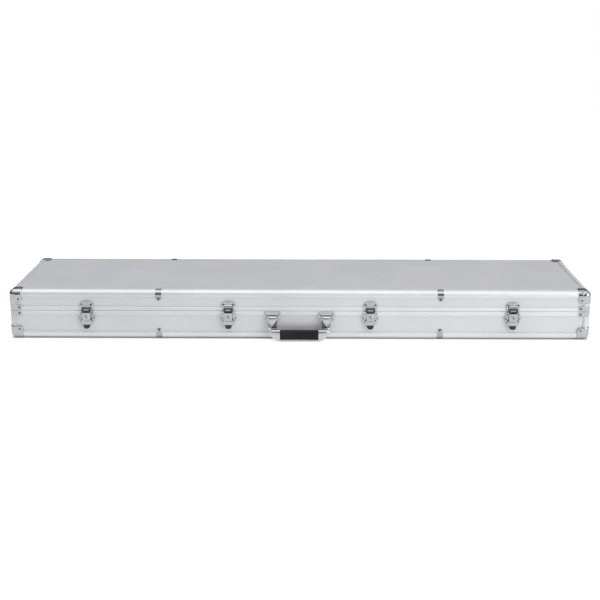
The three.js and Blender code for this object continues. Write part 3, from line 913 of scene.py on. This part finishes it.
def hook(x):
    """The draw hook: two arms on the lever's link pivots, a strap, and a claw over the shelf."""
    half = 10.7 * MM
    arm = arc(LINK, 2.1, 180, 360, 10) + [(6.9, 66), (6.5, 75), (4.4, 75), (3.3, 66)]
    strap = [(6.9, 66.4), (8, 66.4), (6.7, 74.9), (5.4, 74.9)]
    claw = [(5.45, 74.8)] + arc((2.6, 78.6), 2.9, -30, 128, 14)

    def edges(s, length, _point):
        """Narrower towards the claw's tip, where s is 0."""
        straight = 3 * MM
        run = max(0.0, length - s - straight) / (length - straight)
        reach = half - 3.6 * MM * run ** 1.6
        return x - reach, x + reach

    def build(bm):
        for side in (-1, 1):
            side_plate(bm, arm, x + side * 9.5 * MM, x + side * half)
            cross_rod(bm, at_mm(x, *LINK), side * 8.1 * MM, side * 10.9 * MM, 1.3 * MM)
        side_plate(bm, strap, x - half, x + half)
        bead = 6.4 * MM
        cross_rod(bm, at_mm(x, 7.2, 70.6), -bead, bead, 1.1 * MM, 20, 0.5 * MM)
        path = resampled(in_mm(claw), 0.7 * MM)[::-1]
        ribbon(bm, path, edges, 1.3 * MM, lambda w, out, z: facing(w, z, out))

    return build


def lock_barrel(x):
    """The lock's plug: a round bar with a shallow recess in its face."""
    def build(bm):
        turned(bm, at_mm(x, 6, LOCK_Z), AHEAD,
               in_mm([(4.1, 0), (4.1, 3.9), (3.8, 4.2), (3.5, 4.2), (3.3, 3.85)]), 32)

    return build


def keyhole_shade(x):
    """A near-black disc and slot in the plug's recess: painted shade for the keyhole."""
    def build(bm):
        floor, face = 9.7 * MM, 9.95 * MM
        turned(bm, facing(x, 56 * MM, floor), AHEAD, [
            (1.6 * MM, 0), (1.6 * MM, face - floor - 0.05 * MM), (1.5 * MM, face - floor)], 20)
        front_plate(bm, centred(x, 0.7, 52.4, 56, 0.3, 3), floor, face)

    return build


def make_latches():
    for place in LATCHES:
        node = f"latch_{place}"
        x = JOINTS[f"{node}_lever_swing"]["pos_m"][0]
        for name, build, body, stands_for, bevel in (
                ("catch_plate", keeper, "lid", "keeper", 0.25),
                ("back_plate", latch_base, "base", "base", 0.2),
                ("finger_lever", lever, f"lever_{place}", "lever", 0.15),
                ("draw_hook", hook, f"hook_{place}", "hook", 0.12)):
            piece(f"{node}_{name}", build(x), chrome, body, [f"{node}_{stands_for}"],
                  bevel=bevel * MM)
        piece(f"{node}_lock_plug", lock_barrel(x), steel, f"lock_barrel_{place}",
              [f"{node}_lock_barrel"])
        piece(f"{node}_keyway", keyhole_shade(x), recess, f"lock_barrel_{place}")


# ---------------- handle

HANDLE_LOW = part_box("handle_frame")[0][2]
HANDLE_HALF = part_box("handle_frame")[1][0]
grip_low, grip_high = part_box("handle_grip")
GRIP_HALF = grip_high[0]
GRIP_BACK, GRIP_FRONT = FRONT - grip_high[1], FRONT - grip_low[1]
GRIP_BOTTOM, GRIP_TOP = grip_low[2], grip_high[2]
BRACKET_X = 62 * MM
ARM_HALF = 8.5 * MM


def squared_ring(x, out0, out1, z0, z1, power):
    """A ring between a rectangle and an ellipse, across the handle at x."""
    sides = 36
    centre_out, half_out = (out0 + out1) / 2, (out1 - out0) / 2
    centre_z, half_z = (z0 + z1) / 2, (z1 - z0) / 2
    ring = []
    for i in range(sides):
        angle = 2 * math.pi * i / sides
        c, s = math.cos(angle), math.sin(angle)
        out = centre_out + half_out * math.copysign(abs(c) ** (2 / power), c)
        z = centre_z + half_z * math.copysign(abs(s) ** (2 / power), s)
        ring.append(facing(x, z, out))
    return ring


def handle_end(bm, side):
    """The bulging shell between the grip's end and the foot of an arm."""
    corner, tip, edge = 30 * MM, 9 * MM, 0.8 * MM
    start, high = GRIP_HALF + GAP, GRIP_TOP + 1.5 * MM
    steps = 22
    rings = []
    for i in range(steps + 1):
        reach = start + (HANDLE_HALF - start) * (1 - (1 - i / steps) ** 1.8)
        over = max(0.0, reach - (HANDLE_HALF - corner))
        low = HANDLE_LOW + corner - math.sqrt(max(corner * corner - over * over, 0))
        pinch = 5.2 * MM * (max(0.0, reach - (HANDLE_HALF - tip)) / tip) ** 2.2
        rings.append(squared_ring(side * reach, GRIP_BACK - edge + pinch, GRIP_FRONT + edge - pinch,
                                  min(low, high - 5 * MM), high, 3.4))
    loft(bm, rings if side > 0 else rings[::-1])


ARM = (
    (56.8, 5.6), (56.5, 8), (55.4, 10), (53.4, 11.4), (50.5, 12), (46, 12.1), (32, 12.1),
    (29.6, 13.6), (28, 17),
)  # height and reach of an arm's front face, in millimetres


def handle_arm(bm, side):
    """A pressed arm: full width at the pivot, its inner side cut away down to the foot."""
    inner, outer = BRACKET_X - ARM_HALF, HANDLE_HALF
    cut_high, cut_low, foot, sheet = 44, 29, 66.3 * MM, 2.2
    rings = []
    for z, out in ARM:
        share = min(max((cut_high - z) / (cut_high - cut_low), 0), 1)
        near = inner + (foot - inner) * share
        ring = rounded(near, outer, (out - sheet) * MM, out * MM, 0.5 * MM, 3)
        rings.append([facing(side * a, z * MM, b) for a, b in ring])
    loft(bm, rings)
    web = [(0, 0), (4.6, 1), (6.2, -10), (7.6, -18), (9.4, -23), (12, -26), (9, -27), (3.4, -16)]
    side_plate(bm, [(HANDLE_OUT / MM + a, HANDLE_Z / MM + b) for a, b in web],
               side * outer, side * (outer - 1.6 * MM))


def handle_bow(bm):
    """The steel frame: arms and ends on both sides, and the spine under the grip."""
    for side in (-1, 1):
        handle_end(bm, side)
        handle_arm(bm, side)
        eye = facing(side * BRACKET_X, HANDLE_Z, HANDLE_OUT)
        cross_rod(bm, eye, -ARM_HALF, ARM_HALF, 3 * MM, 28, 0.4 * MM)
    reach, steps = GRIP_HALF + GAP, 24
    loft(bm, [
        squared_ring(-reach + 2 * reach * i / steps, GRIP_BACK + 1 * MM, GRIP_FRONT - 0.6 * MM,
                     HANDLE_LOW, GRIP_BOTTOM - GAP, 3.2)
        for i in range(steps + 1)
    ])


def handle_grip(bm):
    """The moulded grip: a rounded bar with shallow lines along it and slightly drawn-in ends."""
    steps, draw_in = 30, 0.7 * MM
    rings = []
    for i in range(steps + 1):
        t = i / steps
        from_end = min(t, 1 - t) * 2 * GRIP_HALF
        shrink = draw_in * max(0.0, 1 - from_end / (1.2 * MM))
        rings.append(grip_ring(-GRIP_HALF + 2 * GRIP_HALF * t, shrink))
    loft(bm, rings)


def grip_ring(x, shrink):
    """The grip's section at x, with three grooves in its front and in its back."""
    corner, groove = 4.2 * MM, 0.25 * MM
    outline = rounded(GRIP_BACK + shrink, GRIP_FRONT - shrink, GRIP_BOTTOM + shrink,
                      GRIP_TOP - shrink, corner, 5)
    ring = []
    for (out, z), (next_out, next_z) in zip(outline, outline[1:] + outline[:1]):
        ring.append((out, z))
        if abs(out - next_out) < 1e-9 and abs(next_z - z) > corner:
            inward = -1 if out > (GRIP_BACK + GRIP_FRONT) / 2 else 1
            step = math.copysign(groove, next_z - z)
            for share in (0.28, 0.5, 0.72):
                middle = z + (next_z - z) * share
                bottom = (out + inward * groove, middle)
                ring += [(out, middle - step), bottom, (out, middle + step)]
    return [facing(x, z, out) for out, z in ring]


def arm_cutaway_shade(bm):
    """A near-black sheet that shows in the cut-away of each arm: painted shade."""
    low, high = 28.6 * MM, 44.4 * MM
    near, far = BRACKET_X - ARM_HALF - 1.6 * MM, HANDLE_HALF - 3 * MM
    for side in (-1, 1):
        def place(a, z, depth):
            return facing(side * a, z, 8 * MM + depth)

        outline = [(near, low), (far, low), (near + 3 * MM, high), (near, high)]
        prism(bm, outline, place, 0, 2.2 * MM)


def bracket(x):
    """A handle bracket: riveted plate, two lugs and the pin between them."""
    def build(bm):
        front_plate(bm, centred(x, 19, 45, 66, 3.2), GAP, 1.7 * MM)
        front_plate(bm, centred(x, 17, 47, 56.9, 1), GAP - STEP, 0.6 * MM)
        pin, lug = facing(x, HANDLE_Z, HANDLE_OUT), 3 * MM
        for side in (-1, 1):
            inner, outer = side * 9.5 * MM, side * 15.5 * MM
            cross_rod(bm, pin, inner, outer, lug, 28, 0.4 * MM)
            foot = rounded(x + min(inner, outer), x + max(inner, outer),
                           HANDLE_Z - lug, HANDLE_Z + lug, 0.8 * MM, 3)
            front_plate(bm, foot, 1.2 * MM, HANDLE_OUT)
            for z in (48.6, 61.8):
                rivet(bm, at_mm(x + side * 15.2 * MM, 1.6, z), AHEAD, 2.5 * MM, 1.2 * MM)
        cross_rod(bm, pin, -10 * MM, 10 * MM, 1.7 * MM)
        front_plate(bm, centred(x, 9, 60, 63.6, 1.6), 1.6 * MM, 2.3 * MM)

    return build


def make_handle():
    piece("handle_bow", handle_bow, handle_chrome, "handle", ["handle_frame"], crease=40)
    piece("handle_moulded_grip", handle_grip, grip_black, "handle", ["handle_grip"],
          bevel=0.15 * MM)
    piece("handle_arm_cores", arm_cutaway_shade, cutaway_shade_steel, "handle", bevel=0.4 * MM)
    for place, x in (("left", -BRACKET_X), ("right", BRACKET_X)):
        piece(f"handle_mount_{place}", bracket(x), chrome, "base",
              [f"handle_bracket_{place}"], bevel=0.25 * MM)


# ---------------- foam

FOAM_PITCH = 38 * MM
FOAM_WAVE = 8 * MM
FOAM_BORDER = 11 * MM
FOAM_STEPS = 6  # steps of the grid from peak to hollow


def foam_ticks(start, end):
    """The grid's lines across a lining: two in the border at each side, even steps between."""
    inner = end - start - 2 * FOAM_BORDER
    count = round(inner / FOAM_PITCH) * FOAM_STEPS
    middle = [start + FOAM_BORDER + inner * i / count for i in range(count + 1)]
    slope = 2 * MM
    return [start, start + FOAM_BORDER - slope] + middle + [end - FOAM_BORDER + slope, end]


def convoluted_foam(node, crown_up, border_to):
    """A foam lining: rows of soft peaks over the floor, and a plain wall round the edge that
    stands as high as border_to."""
    low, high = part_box(node)
    flat, peak, inward = (low[2], high[2], 1) if crown_up else (high[2], low[2], -1)
    xs, ys = foam_ticks(low[0], high[0]), foam_ticks(low[1], high[1])

    def height(i, j):
        if i < 2 or j < 2 or i > len(xs) - 3 or j > len(ys) - 3:
            return border_to
        across_x, across_y = (math.cos(2 * math.pi * ((k - 2) / FOAM_STEPS / 2)) for k in (i, j))
        return peak - inward * FOAM_WAVE * (1 - across_x * across_y)

    def build(bm):
        grid = [[bm.verts.new((x, y, height(i, j))) for j, y in enumerate(ys)]
                for i, x in enumerate(xs)]
        grid_faces(bm, grid)
        rim = [row[0] for row in grid] + grid[-1][1:] + [row[-1] for row in reversed(grid[:-1])]
        rim += reversed(grid[0][1:-1])
        floor = [bm.verts.new((v.co.x, v.co.y, flat)) for v in rim]
        for i in range(len(rim)):
            j = (i + 1) % len(rim)
            bm.faces.new((rim[j], rim[i], floor[i], floor[j]))
        bm.faces.new(floor[::-1])

    return build


def make_foam():
    base_border = PARTING - MOUTH_GAP - BASE_VALANCE - 4.3 * MM
    lid_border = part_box("lid_foam")[0][2]
    for half, crown_up, border in (("base", True, base_border), ("lid", False, lid_border)):
        node = f"{half}_foam"
        foam = piece(f"{half}_convoluted_lining", convoluted_foam(node, crown_up, border),
                     foam_grey, half, [node], crease=70)


# ---------------- floor, light and camera

def case_shadow_mask(tree):
    """1 on the open floor, 0 under the case, where no light reaches: a painted shadow in the
    floor's glow, fading out just past the case's edges.
    """
    def step(operation, first, second=0.0):
        node = added(tree, "Math")
        node.operation = operation
        for socket, value in zip(node.inputs, (first, second)):
            if isinstance(value, float):
                socket.default_value = value
            else:
                tree.links.new(value, socket)
        return node.outputs["Value"]

    place = added(tree, "TexCoord").outputs["Object"]
    parts = added(tree, "SeparateXYZ", {"Vector": place}).outputs
    past_x = step("SUBTRACT", step("ABSOLUTE", parts["X"]), RIGHT)
    from_middle = step("SUBTRACT", parts["Y"], (FRONT + REAR) / 2)
    past_y = step("SUBTRACT", step("ABSOLUTE", from_middle), (REAR - FRONT) / 2)
    dark_to, open_from = -8 * MM, 3 * MM
    return ranged(tree, step("MAXIMUM", past_x, past_y), 0, 1, dark_to, open_from)


def make_floor():
    """A wide pale floor that glows a little, so that it stays white in the picture. A painted
    shadow dims its glow under the case and along its foot.
    """
    material, tree, shader = blank("pale_floor", (0.5, 0.5, 0.5), 0.0, 0.6)
    cloud = ranged(tree, noise(tree, 1.5, 3))
    filled(tree, shader, {
        "Base Color": mixed(tree, cloud, (0.49, 0.49, 0.49), (0.51, 0.51, 0.51)),
        "Specular IOR Level": 0.1,
        # painted shadow: the glow falls to 0.1 under the case, rising back between 8 mm inside its
        # edge and 3 mm outside
        "Emission Color": mixed(tree, case_shadow_mask(tree), (0.1, 0.1, 0.1), (0.65, 0.65, 0.65)),
        "Emission Strength": 1})
    reach = 150.0
    mesh = bpy.data.meshes.new("floor")
    corners = [(reach * x, reach * y, 0) for x, y in ((-1, -1), (1, -1), (1, 1), (-1, 1))]
    mesh.from_pydata(corners, [], [(0, 1, 2, 3)])
    floor = bpy.data.objects.new("floor", mesh)
    mesh.materials.append(material)
    bpy.context.scene.collection.objects.link(floor)


def soft_box(name, place, aim, size, power):
    light = bpy.data.lights.new(name, "AREA")
    light.shape = "RECTANGLE"
    light.size, light.size_y = size
    light.energy = power
    obj = bpy.data.objects.new(name, light)
    obj.location = place
    obj.rotation_euler = (Vector(aim) - Vector(place)).to_track_quat("-Z", "Y").to_euler()
    bpy.context.scene.collection.objects.link(obj)


def make_world():
    """A studio with a bright ceiling, a bright right side and dark walls in front and behind."""
    world = bpy.data.worlds.new("studio")
    bpy.context.scene.world = world
    world.use_nodes = True
    tree = world.node_tree
    place = added(tree, "TexCoord").outputs["Generated"]
    parts = added(tree, "SeparateXYZ", {"Vector": place}).outputs
    to_right = ranged(tree, parts["X"], 0, 1, -0.9, 0.9)
    in_front = ranged(tree, parts["Y"], 1, 0, -0.8, -0.45)
    behind_it = ranged(tree, parts["Y"], 0, 1, 0.7, 0.92)
    overhead = ranged(tree, parts["Z"], 0, 1, 0.5, 0.62)
    light = mixed(tree, to_right, (0.2, 0.2, 0.22), (0.85, 0.85, 0.86))
    light = mixed(tree, in_front, light, (0.14, 0.14, 0.15))
    light = mixed(tree, behind_it, light, (0.2, 0.2, 0.215))
    light = mixed(tree, overhead, light, (1.0, 1.0, 1.02))
    filled(tree, tree.nodes["Background"], {"Color": light, "Strength": 0.9})


def make_lights():
    make_world()
    soft_box("overhead", (-0.3, -0.5, 2.3), (-0.1, -0.1, 0), (3.2, 1.6), 22)
    soft_box("right_key", (2.6, -2.4, 1.3), (0, 0, 0.05), (1.8, 1.8), 56)


CAMERA_PLACE = (0.0333, -2.8356, 0.7809)
CAMERA_TILT = 14.419  # degrees below level
CAMERA_TURN = 0.681  # degrees towards -X
CAMERA_LENS = 72.11


def make_camera():
    camera = bpy.data.cameras.new("camera")
    camera.lens = CAMERA_LENS
    camera.clip_end = 200
    obj = bpy.data.objects.new("camera", camera)
    obj.location = CAMERA_PLACE
    obj.rotation_euler = (math.radians(90 - CAMERA_TILT), 0, math.radians(CAMERA_TURN))
    bpy.context.scene.collection.objects.link(obj)
    bpy.context.scene.camera = obj


# ---------------- the whole scene

bpy.context.scene.view_settings.view_transform = "Standard"
make_camera()
make_shell()
make_hardware()
make_hinges()
make_latches()
make_handle()
make_foam()
make_rivets()
make_floor()
make_lights()
